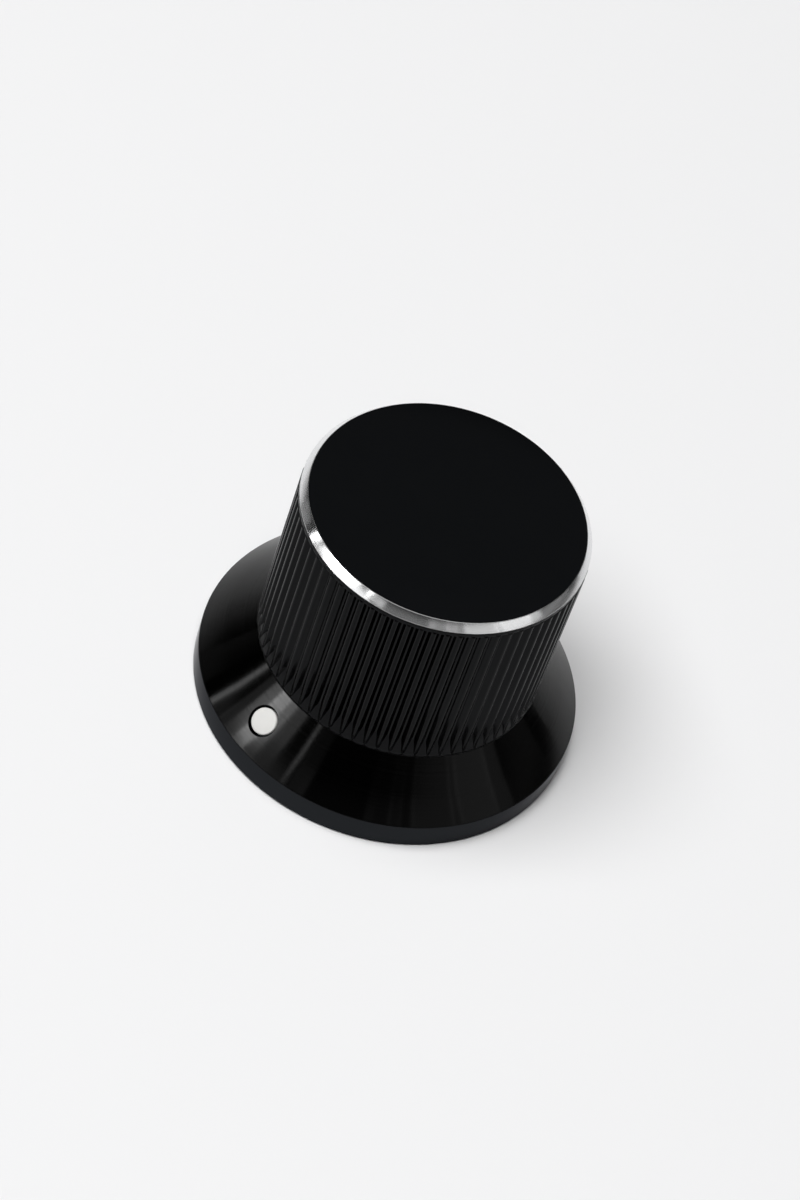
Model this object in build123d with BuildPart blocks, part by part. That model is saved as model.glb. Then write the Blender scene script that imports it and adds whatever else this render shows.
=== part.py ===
from build123d import *
from math import cos, radians, sin, tan
import os

# A skirted control knob, turned from one bar, with an index dot and a set screw.
# Millimetres. The origin is the centre of the base and +Z runs up the shaft axis.
# The index dot faces -Y and the set screw goes in from +Y.

# Turned outline
overall_height = 21.4
skirt_diameter = 30.0
rim_height = 2.2
skirt_slope = 45.0
grip_diameter = 22.4
top_bevel_width = 0.5
top_bevel_height = 0.6
top_bevel_edge_radius = 0.06
top_band_height = 0.35
top_band_relief = 0.06
top_band_slope = 0.12
rim_edge_radius = 0.15
base_edge_chamfer = 0.2

# Flutes, pressed along the grip: a narrow floor, steep flanks, and shoulders that round the ridges.
# Both ends slope up to the surface with the flanks kept, so the floor widens towards them. The
# upper end is short and steep, and the lower one comes up in two slopes
flute_count = 72
flute_depth = 0.33
flute_floor_width = 0.14
flute_flank_angle = 50.0
flute_shoulder_depth = 0.06
flute_shoulder_angle = 28.0
flute_top_end = 0.3
flute_low_end = 0.7
flute_lead_depth = 0.125
flute_lead_length = 0.75
flute_to_skirt = 0.25
flute_from_dot = 3.65
cutter_overlap = 0.3

# Hollow under the knob, and the shaft bore
recess_diameter = 18.0
recess_depth = 4.5
bore_diameter = 6.1
bore_length = 12.5
bore_lead_in = 0.4
drill_point_angle = 118.0

# Index dot, a pin pressed into the skirt
dot_hole_diameter = 2.4
dot_hole_depth = 1.3
dot_hole_edge = 0.06
dot_side_gap = 0.14
dot_sunk = 0.08
dot_edge_radius = 0.12

# Set screw and its tapped hole
screw_diameter = 3.0
screw_length = 5.0
screw_axis_height = 10.5
screw_from_bore = 0.4
screw_end_chamfer = 0.4
screw_thread_gap = 0.02
cup_diameter = 1.4
cup_angle = 90.0
key_across_flats = 1.5
key_depth = 2.0
tapped_hole_edge = 0.35

skirt_radius = skirt_diameter / 2
grip_radius = grip_diameter / 2
bore_radius = bore_diameter / 2
screw_radius = screw_diameter / 2
shoulder_height = rim_height + (skirt_radius - grip_radius) * tan(radians(skirt_slope))
bevel_foot_height = overall_height - top_bevel_height
bore_end_height = recess_depth + bore_length

# The plain band under the bevel is turned down, so the ridges end in a small slope below it
band_radius = grip_radius - top_band_relief
band_low = bevel_foot_height - top_band_height
band_slope_low = band_low - top_band_slope

# One flute: its section, carried along the grip, and kept above its floor and its two sloped ends
flute_low = shoulder_height + flute_to_skirt
flute_high = band_low
lead_high = flute_low + flute_lead_length
floor_distance = grip_radius - flute_depth
outer_distance = grip_radius + cutter_overlap
half_floor = flute_floor_width / 2
half_flanks = half_floor + (flute_depth - flute_shoulder_depth) / tan(radians(flute_flank_angle))
half_flute = half_flanks + flute_shoulder_depth / tan(radians(flute_shoulder_angle))

with BuildPart() as flute:
    with BuildSketch():
        with BuildLine():
            Polyline(
                (floor_distance, half_floor),
                (grip_radius - flute_shoulder_depth, half_flanks),
                (grip_radius, half_flute),
                (outer_distance, half_flute),
                (outer_distance, -half_flute),
                (grip_radius, -half_flute),
                (grip_radius - flute_shoulder_depth, -half_flanks),
                (floor_distance, -half_floor),
                close=True,
            )
        make_face()
    extrude(amount=overall_height)
    with BuildSketch(Plane.XZ):
        with BuildLine():
            Polyline(
                (grip_radius, flute_low),
                (outer_distance, flute_low),
                (outer_distance, flute_high),
                (grip_radius, flute_high),
                (floor_distance, flute_high - flute_top_end),
                (floor_distance, lead_high + flute_low_end),
                (grip_radius - flute_lead_depth, lead_high),
                close=True,
            )
        make_face()
    extrude(amount=half_flute, both=True, mode=Mode.INTERSECT)

# The dot sits half way down the slope of the skirt, square to it
dot_distance = (skirt_radius + grip_radius) / 2
dot_height = (rim_height + shoulder_height) / 2
dot_plane = Plane(
    origin=(0, -dot_distance, dot_height),
    x_dir=(1, 0, 0),
    z_dir=(0, -sin(radians(skirt_slope)), cos(radians(skirt_slope))),
)
screw_plane = Plane(origin=(0, grip_radius, screw_axis_height), x_dir=(1, 0, 0), z_dir=(0, 1, 0))

with BuildPart() as knob_body:
    with BuildSketch(Plane.XZ):
        with BuildLine():
            Polyline(
                (0, 0),
                (skirt_radius, 0),
                (skirt_radius, rim_height),
                (grip_radius, shoulder_height),
                (grip_radius, band_slope_low),
                (band_radius, band_low),
                (band_radius, bevel_foot_height),
                (band_radius - top_bevel_width, overall_height),
                (0, overall_height),
                close=True,
            )
        make_face()
    revolve(axis=Axis.Z)

    skirt_edges = knob_body.edges().filter_by(GeomType.CIRCLE).group_by(SortBy.RADIUS)[-1]
    chamfer(skirt_edges.sort_by(Axis.Z)[0], base_edge_chamfer)
    skirt_edges = knob_body.edges().filter_by(GeomType.CIRCLE).group_by(SortBy.RADIUS)[-1]
    fillet(skirt_edges.sort_by(Axis.Z)[-1], rim_edge_radius)
    bevel_edges = knob_body.edges().filter_by(GeomType.CIRCLE).sort_by(Axis.Z)[-2:]
    fillet(bevel_edges, top_bevel_edge_radius)

    with BuildSketch(Plane.XZ):
        with BuildLine():
            Polyline(
                (0, 0),
                (recess_diameter / 2, 0),
                (recess_diameter / 2, recess_depth),
                (bore_radius + bore_lead_in, recess_depth),
                (bore_radius, recess_depth + bore_lead_in),
                (bore_radius, bore_end_height),
                (0, bore_end_height + bore_radius / tan(radians(drill_point_angle / 2))),
                close=True,
            )
        make_face()
    revolve(axis=Axis.Z, mode=Mode.SUBTRACT)

    with Locations(dot_plane):
        CounterSinkHole(
            dot_hole_diameter / 2, dot_hole_diameter / 2 + dot_hole_edge, dot_hole_depth, 90
        )
    with Locations(screw_plane):
        CounterSinkHole(
            screw_radius + screw_thread_gap, screw_radius + tapped_hole_edge, grip_radius, 90
        )

    with PolarLocations(0, flute_count, start_angle=flute_from_dot - 90):
        add(flute.part, mode=Mode.SUBTRACT)
knob_body.part.label = "knob_body"

with BuildPart() as index_dot:
    with BuildSketch(dot_plane.offset(-dot_hole_depth)):
        Circle(dot_hole_diameter / 2 - dot_side_gap)
    extrude(amount=dot_hole_depth - dot_sunk)
    outward = Axis(dot_plane.origin, dot_plane.z_dir)
    fillet(index_dot.faces().sort_by(outward)[-1].edges(), dot_edge_radius)
index_dot.part.label = "index_dot"

tip_plane = screw_plane.offset(bore_radius + screw_from_bore - grip_radius)
with BuildPart() as set_screw:
    with BuildSketch(tip_plane):
        Circle(screw_radius)
    extrude(amount=screw_length)
    chamfer(set_screw.edges().filter_by(GeomType.CIRCLE), screw_end_chamfer)
    with BuildSketch(tip_plane.offset(screw_length)):
        RegularPolygon(key_across_flats / 2, side_count=6, major_radius=False)
    extrude(amount=-key_depth, mode=Mode.SUBTRACT)
    with Locations(tip_plane):
        Cone(
            bottom_radius=cup_diameter / 2,
            top_radius=0,
            height=cup_diameter / 2 / tan(radians(cup_angle / 2)),
            align=(Align.CENTER, Align.CENTER, Align.MIN),
            mode=Mode.SUBTRACT,
        )
set_screw.part.label = "set_screw"

os.makedirs("parts", exist_ok=True)
for piece in (knob_body, index_dot, set_screw):
    export_step(piece.part, f"parts/{piece.part.label}.step")
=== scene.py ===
from math import atan2, cos, hypot, pi, radians, sin, sqrt, tan

import bmesh
import bpy
from mathutils import Matrix, Vector


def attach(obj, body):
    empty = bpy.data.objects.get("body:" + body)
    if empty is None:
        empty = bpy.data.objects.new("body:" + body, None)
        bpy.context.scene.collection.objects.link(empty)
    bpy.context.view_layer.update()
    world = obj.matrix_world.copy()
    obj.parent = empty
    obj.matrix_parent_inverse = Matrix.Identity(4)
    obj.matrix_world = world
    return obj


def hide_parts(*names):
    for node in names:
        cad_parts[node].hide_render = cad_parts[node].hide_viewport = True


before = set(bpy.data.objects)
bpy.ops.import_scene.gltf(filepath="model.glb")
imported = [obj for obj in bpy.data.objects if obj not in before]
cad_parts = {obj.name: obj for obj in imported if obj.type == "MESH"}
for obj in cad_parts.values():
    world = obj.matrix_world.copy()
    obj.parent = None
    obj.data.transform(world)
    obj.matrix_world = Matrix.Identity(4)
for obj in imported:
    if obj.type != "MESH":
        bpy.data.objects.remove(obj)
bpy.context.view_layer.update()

mm = 0.001

# The knob's sizes in millimetres, as its solids have them. A rounding is how far it reaches
# from its corner
skirt_radius = 15.0
rim_height = 2.2
rim_rounding = 0.062
base_chamfer = 0.2
skirt_slope = radians(45)
shoulder_height = 6.0
grip_radius = 11.2
band_slope_low = 20.33
band_low = 20.45
band_radius = 11.14
bevel_foot = 20.8
bevel_foot_rounding = 0.0217
bevel_head_radius = 10.64
bevel_head_rounding = 0.0281
overall_height = 21.4
recess_radius = 9.0
recess_depth = 4.5
bore_radius = 3.05
bore_lead_in = 0.4
bore_end = 17.0
drill_half_angle = radians(59)

# Half a flute's section: distance from its middle and depth, out to the ridge
flute_count = 72
flute_phase = radians(3.65)
flute_section = (
    (0.000, 0.3300),
    (0.040, 0.3300),
    (0.064, 0.3260),
    (0.080, 0.3170),
    (0.095, 0.3000),
    (0.180, 0.1990),
    (0.270, 0.0920),
    (0.296, 0.0640),
    (0.323, 0.0420),
    (0.354, 0.0240),
    (0.390, 0.0105),
    (0.430, 0.0030),
)
# The flutes' floor, from the skirt up: height and depth
flute_rows = (
    (6.25, 0.000),
    (6.30, 0.008),
    (6.40, 0.025),
    (6.55, 0.050),
    (6.75, 0.083),
    (6.92, 0.112),
    (7.04, 0.137),
    (7.15, 0.169),
    (7.30, 0.213),
    (7.45, 0.257),
    (7.58, 0.294),
    (7.67, 0.316),
    (7.76, 0.327),
    (7.86, 0.330),
    (20.10, 0.330),
    (20.15, 0.330),
    (20.20, 0.275),
    (20.25, 0.220),
    (20.29, 0.176),
    (20.33, 0.132),
    (20.36, 0.099),
    (20.39, 0.066),
    (20.42, 0.060),
    (20.45, 0.060),
)
flute_depth = flute_section[0][1]
# Where the floor rises, half its width is split into this many steps
floor_points = 4
columns = 2 * len(flute_section)
pitch = 2 * pi / flute_count

# The index dot, its hole, and the set screw's hole
dot_radius = 1.06
dot_sunk = 0.08
dot_rounding = 0.12
dot_hole_radius = 1.2
dot_hole_depth = 1.3
dot_hole_edge = 0.06
screw_axis_height = 10.5
screw_hole_radius = 1.52
screw_hole_depth = 9.0
screw_hole_edge = 0.33
cutter_reach = 0.5

# How finely the shapes are made, in millimetres and in steps round
top_ring_radius = 5.0
rounding_segments = 4
dot_steps = 96
screw_hole_steps = 64
weld_distance = 0.00002
surface_tolerance = 0.0001
crease_angle = radians(24)

# Places of the holes: the dot is half way down the skirt's slope and its axis leaves it square,
# and the set screw's axis is level
slope_middle_radius = (grip_radius + skirt_radius) / 2
slope_middle_height = (shoulder_height + rim_height) / 2
dot_centre = Vector((0, -slope_middle_radius, slope_middle_height)) * mm
dot_place = Matrix.Translation(dot_centre) @ Matrix.Rotation(skirt_slope, 4, "X")
screw_centre = Vector((0, grip_radius, screw_axis_height)) * mm
screw_place = Matrix.Translation(screw_centre) @ Matrix.Rotation(radians(-90), 4, "X")

# The body's finishes, in the order of its material slots, and how far, in millimetres, a face
# may lie off the surface of its zone
plain_zone, slope_zone, bevel_zone, grip_zone = range(4)
grip_slack = 0.1
zone_slack = 0.05

# Where the photograph's camera stands, in degrees round and above the knob, and where it sees
# the middle of the base, in radii of the skirt
camera_azimuth = 35.37
camera_elevation = 47.9
camera_roll = 20.34
lens = 118.86
sensor_width = 36
base_in_view = Vector((-0.0921, -0.4583, -20.5438))

# The floor and the light, in metres. Azimuths of lamps are counted from the camera's own
floor_reach = 3.0
aim_height = 0.012
card_distance = 1.2
overhead_azimuth = -150
overhead_elevation = 72
overhead_distance = 1.5
overhead_size = 1.15
overhead_brightness = 7.42
world_glow = (0.010, 0.010, 0.0102, 1)
world_seen = (0.887, 0.887, 0.887, 1)

# Bright cards that the knob mirrors: azimuth and elevation, width and height in degrees,
# and brightness. The last three are there for the views from other sides
cards = (
    ("key", -152.5, 36, 7, 22, 20.0),
    ("key_wing", -159, 31, 8, 14, 7.0),
    ("key_right", -146, 37, 6, 14, 10.0),
    ("key_end", -139, 38, 9, 10, 3.8),
    ("key_left", -175.5, 21, 2.5, 20, 7.0),
    ("front_left", -144, 24, 44, 16, 1.15),
    ("front_streak", -122.5, 38, 1.8, 14, 4.5),
    ("front_left_end", -114, 31, 8, 12, 0.60),
    ("front", -92, 31, 36, 8, 0.15),
    ("front_right", -69, 28, 12, 14, 0.30),
    ("right_front", -60, 25, 6, 20, 0.38),
    ("right_notch", -53.5, 23, 7, 24, 0.26),
    ("right_left", -40, 21, 20, 28, 0.62),
    ("right_gap", -27.5, 21, 5, 24, 0.55),
    ("side", -16, 23, 18, 26, 0.88),
    ("side_end", -3, 20, 8, 20, 0.60),
    ("side_low", 13, 13, 24, 12, 0.20),
    ("back_right", 46, 0, 24, 10, 0.42),
    ("back_left", 146, 1, 30, 9, 0.42),
    ("left_low", 168, 9, 14, 10, 0.20),
    ("left", -171, 17, 9, 9, 0.75),
    ("back", 90, 52, 50, 30, 0.275),
    ("behind", 97, 19, 56, 24, 0.5),
    ("above", 0, 88, 58, 58, 0.6),
    ("low_front", -92, 12, 34, 18, 0.5),
)


class Field:
    """A number that varies over a surface. Sums and products of fields add Math nodes."""

    def __init__(self, finish, socket):
        self.finish = finish
        self.socket = socket

    def __add__(self, other):
        return self.finish.math("ADD", self, other)

    def __mul__(self, other):
        return self.finish.math("MULTIPLY", self, other)

    __radd__ = __add__
    __rmul__ = __mul__


class Finish:
    """A material, built from nodes."""

    def __init__(self, name):
        self.material = bpy.data.materials.new(name)
        self.material.use_nodes = True
        self.tree = self.material.node_tree
        self.tree.nodes.clear()
        self.output = self.tree.nodes.new("ShaderNodeOutputMaterial")

    def node(self, kind, settings=None, **inputs):
        """Adds a node: its settings first, then the values or links of its sockets."""
        made = self.tree.nodes.new("ShaderNode" + kind)
        for name, value in (settings or {}).items():
            setattr(made, name, value)
        for name, value in inputs.items():
            self.feed(made.inputs[name.replace("_", " ")], value)
        return made

    def feed(self, socket, value):
        if isinstance(value, Field):
            self.tree.links.new(value.socket, socket)
        elif isinstance(value, bpy.types.NodeSocket):
            self.tree.links.new(value, socket)
        else:
            socket.default_value = value

    def math(self, operation, *values):
        made = self.node("Math", {"operation": operation})
        for socket, value in zip(made.inputs, values):
            self.feed(socket, value)
        return Field(self, made.outputs[0])

    def place(self):
        """The point's x, y and z in the part's frame, in millimetres."""
        coordinates = self.node("TexCoord")
        split = self.node("SeparateXYZ", Vector=coordinates.outputs["Object"])
        return [Field(self, split.outputs[axis]) * (1 / mm) for axis in "XYZ"]

    def lines(self, across, per_mm, detail=2.0, roughness=0.5):
        """Uneven lines of a cutting tool, which run square to the field that is given."""
        noise = self.node(
            "TexNoise",
            {"noise_dimensions": "1D"},
            W=across * per_mm,
            Scale=1.0,
            Detail=detail,
            Roughness=roughness,
        )
        return Field(self, noise.outputs[0])

    def cloud(self, per_mm):
        """A soft uneven field through the whole part."""
        coordinates = self.node("TexCoord")
        noise = self.node(
            "TexNoise", Vector=coordinates.outputs["Object"], Scale=per_mm / mm, Detail=3.0
        )
        return Field(self, noise.outputs[0])

    def blend(self, amount, one, other):
        """A colour between two, by a field."""
        mixed = self.node("Mix", {"data_type": "RGBA"}, Factor=amount)
        colours = [socket for socket in mixed.inputs if socket.type == "RGBA"]
        for socket, colour in zip(colours, (one, other)):
            socket.default_value = colour
        return next(socket for socket in mixed.outputs if socket.type == "RGBA")

    def relief(self, height, depth):
        """Fine relief of so many millimetres."""
        return self.node("Bump", Strength=1.0, Distance=depth * mm, Height=height).outputs[0]

    def principled(self, **inputs):
        """The finished material, with the values or links of its shader's sockets."""
        shader = self.node("BsdfPrincipled", **inputs)
        self.tree.links.new(shader.outputs[0], self.output.inputs["Surface"])
        return self.material


def black_satin():
    """Black anodised layer on the rim and the top face, which mirrors little, also at a slant."""
    finish = Finish("black_satin")
    uneven = finish.cloud(0.35)
    return finish.principled(
        Base_Color=finish.blend(
            uneven, (0.0158, 0.0173, 0.0192, 1), (0.0182, 0.0198, 0.0218, 1)
        ),
        Roughness=0.12 + uneven * 0.05,
        Metallic=1.0,
        Specular_Tint=(0.62, 0.62, 0.63, 1),
    )


def black_pressed():
    """The same layer on the flutes, smoother and darker."""
    finish = Finish("black_pressed")
    uneven = finish.cloud(1.2)
    return finish.principled(
        Base_Color=finish.blend(
            uneven, (0.0088, 0.0090, 0.0094, 1), (0.0108, 0.0110, 0.0114, 1)
        ),
        Roughness=0.08 + uneven * 0.05,
        Metallic=1.0,
        Specular_Tint=(0.66, 0.66, 0.66, 1),
    )


def black_turned():
    """The same layer over the skirt's fine turned lines, which spread glints across them."""
    finish = Finish("black_turned")
    x, y = finish.place()[:2]
    radius = finish.math("SQRT", x * x + y * y)
    fine = finish.lines(radius, 6.0, detail=3.0, roughness=0.7)
    return finish.principled(
        Base_Color=finish.blend(
            fine, (0.00002, 0.00002, 0.00003, 1), (0.00005, 0.00005, 0.00006, 1)
        ),
        Roughness=0.07 + fine * 0.12,
        IOR=1.22,
        Anisotropic=0.9,
        Anisotropic_Rotation=0.25,
        Normal=finish.relief(fine, 0.002),
    )


def bright_cut():
    """Bare aluminium of the bevel, cut after the black layer went on."""
    finish = Finish("bright_cut")
    height = finish.place()[2]
    fine = finish.lines(height, 14.0)
    return finish.principled(
        Base_Color=finish.blend(fine, (0.80, 0.805, 0.81, 1), (0.93, 0.93, 0.935, 1)),
        Roughness=0.14 + fine * 0.06,
        Metallic=1.0,
        Anisotropic=0.8,
        Anisotropic_Rotation=0.25,
    )


def white_pin():
    """Smooth white of the index dot."""
    finish = Finish("white_pin")
    uneven = finish.cloud(1.5)
    return finish.principled(
        Base_Color=finish.blend(uneven, (0.60, 0.595, 0.575, 1), (0.65, 0.645, 0.625, 1)),
        Roughness=0.38 + uneven * 0.1,
        IOR=1.3,
    )


def blackened_steel():
    """Dark steel of the set screw."""
    finish = Finish("blackened_steel")
    uneven = finish.cloud(2.0)
    return finish.principled(
        Base_Color=finish.blend(uneven, (0.030, 0.030, 0.032, 1), (0.060, 0.060, 0.064, 1)),
        Roughness=0.30 + uneven * 0.15,
        Metallic=1.0,
    )


def white_floor():
    """Pale matt paper."""
    return Finish("studio_floor").principled(
        Base_Color=(0.82, 0.82, 0.825, 1), Roughness=0.6, Specular_IOR_Level=0.2
    )


def weld(shape):
    bmesh.ops.remove_doubles(shape, verts=shape.verts[:], dist=weld_distance * mm)


def turn(outline, steps, angle=2 * pi, rounded=()):
    """Spins an outline of (radius, height) in millimetres round Z.

    Each rounded corner is given with the reach of its rounding.
    """
    shape = bmesh.new()
    points = [shape.verts.new((radius * mm, 0, height * mm)) for radius, height in outline]
    for one, other in zip(points, points[1:]):
        shape.edges.new((one, other))
    for corner, reach in rounded:
        bmesh.ops.bevel(
            shape,
            geom=[points[outline.index(corner)]],
            offset=reach * mm,
            offset_type="OFFSET",
            affect="VERTICES",
            segments=rounding_segments,
            profile=0.5,
            material=-1,
        )
    bmesh.ops.spin(
        shape,
        geom=shape.verts[:] + shape.edges[:],
        cent=(0, 0, 0),
        axis=(0, 0, 1),
        angle=angle,
        steps=steps,
        use_merge=angle == 2 * pi,
    )
    weld(shape)
    return shape


def piece(name, shape, *materials):
    """Makes an object of a shape, which is in its place in the part's frame."""
    mesh = bpy.data.meshes.new(name)
    shape.to_mesh(mesh)
    shape.free()
    for material in materials:
        mesh.materials.append(material)
    made = bpy.data.objects.new(name, mesh)
    bpy.context.scene.collection.objects.link(made)
    return made


def settle(shape, place):
    """Turns the faces outwards and puts the shape in its place."""
    bmesh.ops.recalc_face_normals(shape, faces=shape.faces[:])
    bmesh.ops.transform(shape, matrix=place, verts=shape.verts[:])


def grip_surface(height):
    """Radius of the grip before its flutes are pressed: the band below the bevel is lower."""
    share = (height - band_slope_low) / (band_low - band_slope_low)
    return grip_radius + (band_radius - grip_radius) * min(1, max(0, share))


def flute_edge(depth):
    """Distance from a flute's middle at which its section has the depth."""
    if depth >= flute_depth:
        return 0
    for (inner, deep), (outer, shallow) in zip(flute_section, flute_section[1:]):
        if deep > depth >= shallow:
            return inner + (outer - inner) * (deep - depth) / (deep - shallow)
    return grip_radius * pitch / 2


def press_in_flute(shape):
    """Moves the columns of one pitch of the grip into the section of a flute."""
    floors = {round(height, 2): depth for height, depth in flute_rows}
    for point in shape.verts:
        height = round(point.co.z / mm, 2)
        column = round(atan2(point.co.y, point.co.x) / (pitch / columns))
        surface = grip_surface(height)
        on_grip = abs(hypot(point.co.x, point.co.y) / mm - surface) < surface_tolerance
        if height not in floors or not on_grip or abs(column) >= len(flute_section):
            continue
        across, depth = flute_section[abs(column)]
        if depth > floors[height]:
            depth = floors[height]
            across = flute_edge(depth) * min(1, abs(column) / floor_points)
        pressed = sqrt(grip_radius**2 - across**2) - depth
        point.co.x = min(pressed, sqrt(surface**2 - across**2)) * mm
        point.co.y = (across if column > 0 else -across) * mm


def repeat_round(shape, times):
    first = shape.verts[:] + shape.edges[:] + shape.faces[:]
    for step in range(1, times):
        copy = bmesh.ops.duplicate(shape, geom=first)["geom"]
        moved = [element for element in copy if isinstance(element, bmesh.types.BMVert)]
        onward = Matrix.Rotation(step * 2 * pi / times, 3, "Z")
        bmesh.ops.rotate(shape, verts=moved, cent=(0, 0, 0), matrix=onward)
    weld(shape)


def hole_cutter(name, radius, depth, edge, steps, place):
    """What is taken away for a round hole with a broken edge."""
    outline = [
        (0, -depth),
        (radius, -depth),
        (radius, -edge),
        (radius + edge + cutter_reach, cutter_reach),
        (0, cutter_reach),
    ]
    shape = turn(outline, steps)
    settle(shape, place)
    return piece(name, shape)


def drilled(name, shape, cutters):
    """The shape with its holes cut."""
    blank = piece(name + "_blank", shape)
    for cutter in cutters:
        hole = blank.modifiers.new("hole", "BOOLEAN")
        hole.operation = "DIFFERENCE"
        hole.solver = "MANIFOLD"
        hole.object = cutter
    bpy.context.view_layer.update()
    cut = blank.evaluated_get(bpy.context.evaluated_depsgraph_get())
    result = bmesh.new()
    result.from_mesh(cut.data)
    for used in [blank] + cutters:
        bpy.data.objects.remove(used)
    return result


def crease(shape):
    """Smooth faces, with sharp edges where they turn by more than the crease angle."""
    for face in shape.faces:
        face.smooth = True
    for edge in shape.edges:
        edge.smooth = edge.calc_face_angle(0) < crease_angle


def zone(radius, height):
    """The finish of the body at a place on its surface."""
    if height > bevel_foot and radius > bevel_head_radius - bevel_head_rounding:
        return bevel_zone
    on_grip = radius > grip_radius - flute_depth - grip_slack
    if on_grip and shoulder_height < height < bevel_foot + zone_slack:
        return grip_zone
    from_slope = abs(radius + height - skirt_radius - rim_height)
    if radius > grip_radius and height > rim_height and from_slope < zone_slack:
        return slope_zone
    return plain_zone


def body_outline():
    """The turned outline, from the middle of the top face down and back up the bore."""
    grip = [(grip_surface(height), height) for height, depth in reversed(flute_rows)]
    return [
        (0, overall_height),
        (top_ring_radius, overall_height),
        (bevel_head_radius, overall_height),
        (band_radius, bevel_foot),
        *grip,
        (grip_radius, shoulder_height),
        (slope_middle_radius, slope_middle_height),
        (skirt_radius, rim_height),
        (skirt_radius, base_chamfer),
        (skirt_radius - base_chamfer, 0),
        (recess_radius, 0),
        (recess_radius, recess_depth),
        (bore_radius + bore_lead_in, recess_depth),
        (bore_radius, recess_depth + bore_lead_in),
        (bore_radius, bore_end),
        (0, bore_end + bore_radius / tan(drill_half_angle)),
    ]


def knob_body():
    """One pitch is turned and pressed, repeated all round, and drilled."""
    rounded = (
        ((bevel_head_radius, overall_height), bevel_head_rounding),
        ((band_radius, bevel_foot), bevel_foot_rounding),
        ((skirt_radius, rim_height), rim_rounding),
    )
    shape = turn(body_outline(), columns, pitch, rounded)
    half_back = Matrix.Rotation(-pitch / 2, 3, "Z")
    bmesh.ops.rotate(shape, verts=shape.verts[:], cent=(0, 0, 0), matrix=half_back)
    press_in_flute(shape)
    repeat_round(shape, flute_count)
    settle(shape, Matrix.Rotation(flute_phase, 4, "Z"))
    dot_cutter = hole_cutter(
        "dot_cutter", dot_hole_radius, dot_hole_depth, dot_hole_edge, dot_steps, dot_place
    )
    screw_cutter = hole_cutter(
        "screw_cutter",
        screw_hole_radius,
        screw_hole_depth,
        screw_hole_edge,
        screw_hole_steps,
        screw_place,
    )
    shape = drilled("knob_body", shape, [dot_cutter, screw_cutter])
    crease(shape)
    for face in shape.faces:
        middle = face.calc_center_median() / mm
        face.material_index = zone(hypot(middle.x, middle.y), middle.z)
    body = piece(
        "knob_body_fine", shape, black_satin(), black_turned(), bright_cut(), black_pressed()
    )
    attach(body, "root")
    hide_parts("knob_body")


def index_dot():
    outline = [
        (0, -dot_hole_depth),
        (dot_radius, -dot_hole_depth),
        (dot_radius, -dot_sunk),
        (0, -dot_sunk),
    ]
    rounded = (((dot_radius, -dot_sunk), dot_rounding),)
    shape = turn(outline, dot_steps, rounded=rounded)
    settle(shape, dot_place)
    crease(shape)
    dot = piece("index_dot_fine", shape, white_pin())
    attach(dot, "root")
    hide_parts("index_dot")


def dress(node, material):
    """Gives its finish to a solid that is shown as it is."""
    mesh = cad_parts[node].data
    if not mesh.materials:
        mesh.materials.append(material)
    for slot in range(len(mesh.materials)):
        mesh.materials[slot] = material


def studio_floor():
    bpy.ops.mesh.primitive_plane_add(size=2 * floor_reach)
    floor = bpy.context.object
    floor.name = "studio_floor"
    floor.data.materials.append(white_floor())


def photo_camera():
    around = Matrix.Rotation(radians(camera_azimuth), 3, "Z")
    tilt = Matrix.Rotation(radians(90 - camera_elevation), 3, "X")
    roll = Matrix.Rotation(radians(camera_roll), 3, "Z")
    turned = around @ tilt @ roll
    data = bpy.data.cameras.new("photo_camera")
    data.lens = lens
    data.sensor_width = sensor_width
    camera = bpy.data.objects.new("photo_camera", data)
    bpy.context.scene.collection.objects.link(camera)
    stand = -(turned @ (base_in_view * skirt_radius * mm))
    camera.matrix_world = Matrix.Translation(stand) @ turned.to_4x4()
    bpy.context.scene.camera = camera


def direction(azimuth, elevation):
    """The way to a light seen from the knob: azimuth turns from +X to +Y."""
    turned = radians(azimuth)
    raised = radians(elevation)
    return Vector((cos(raised) * cos(turned), cos(raised) * sin(turned), sin(raised)))


def face_size(angle):
    """Size of a card that takes up so many degrees seen from the knob."""
    return 2 * card_distance * tan(radians(angle / 2))


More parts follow.
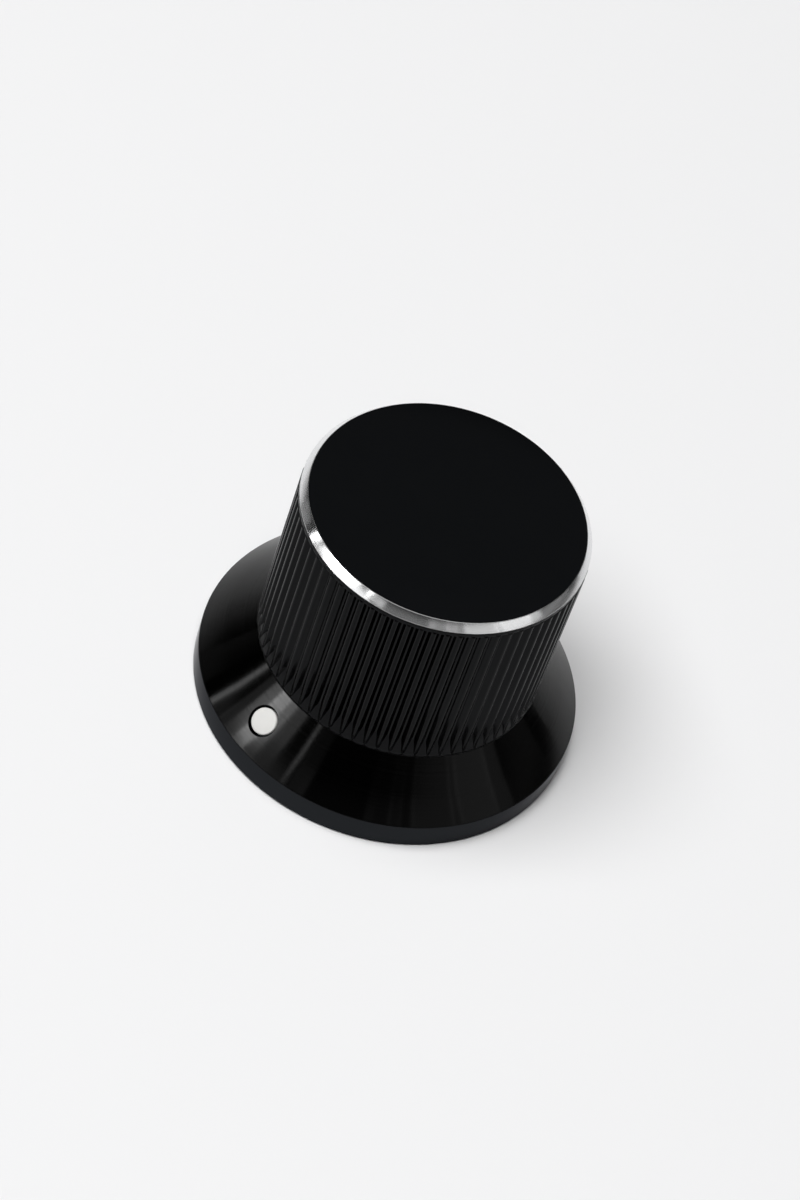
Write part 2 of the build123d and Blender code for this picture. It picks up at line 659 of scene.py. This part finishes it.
def softbox(name, azimuth, elevation, distance, width, height, brightness, mirrored=True):
    """A rectangular lamp that faces the knob. Brightness is what its face shows, 1 for white.

    A mirrored one is seen in glossy surfaces only, and the other kind lights matt ones only.
    """
    lamp = bpy.data.lights.new(name, "AREA")
    lamp.shape = "RECTANGLE"
    lamp.size = width
    lamp.size_y = height
    lamp.energy = brightness * pi * width * height
    holder = bpy.data.objects.new(name, lamp)
    bpy.context.scene.collection.objects.link(holder)
    holder.visible_diffuse = not mirrored
    holder.visible_glossy = mirrored
    way = direction(azimuth + camera_azimuth, elevation)
    facing = way.to_track_quat("Z", "Y").to_matrix().to_4x4()
    holder.matrix_world = Matrix.Translation(way * distance + Vector((0, 0, aim_height))) @ facing


def studio_light():
    for name, azimuth, elevation, wide, high, brightness in cards:
        softbox(
            name,
            azimuth,
            elevation,
            card_distance,
            face_size(wide),
            face_size(high),
            brightness,
        )
    softbox(
        "overhead",
        overhead_azimuth,
        overhead_elevation,
        overhead_distance,
        overhead_size,
        overhead_size,
        overhead_brightness,
        mirrored=False,
    )


def studio_world():
    """A pale surrounding where the camera looks past the floor, and a faint glow elsewhere."""
    world = bpy.data.worlds.new("studio")
    bpy.context.scene.world = world
    world.use_nodes = True
    tree = world.node_tree
    tree.nodes.clear()
    output = tree.nodes.new("ShaderNodeOutputWorld")
    paths = tree.nodes.new("ShaderNodeLightPath")
    mix = tree.nodes.new("ShaderNodeMixShader")
    glow = tree.nodes.new("ShaderNodeBackground")
    glow.inputs["Color"].default_value = world_glow
    seen = tree.nodes.new("ShaderNodeBackground")
    seen.inputs["Color"].default_value = world_seen
    tree.links.new(paths.outputs["Is Camera Ray"], mix.inputs[0])
    tree.links.new(glow.outputs[0], mix.inputs[1])
    tree.links.new(seen.outputs[0], mix.inputs[2])
    tree.links.new(mix.outputs[0], output.inputs["Surface"])


knob_body()
index_dot()
dress("set_screw", blackened_steel())
studio_floor()
photo_camera()
studio_light()
studio_world()
bpy.context.scene.view_settings.view_transform = "Standard"
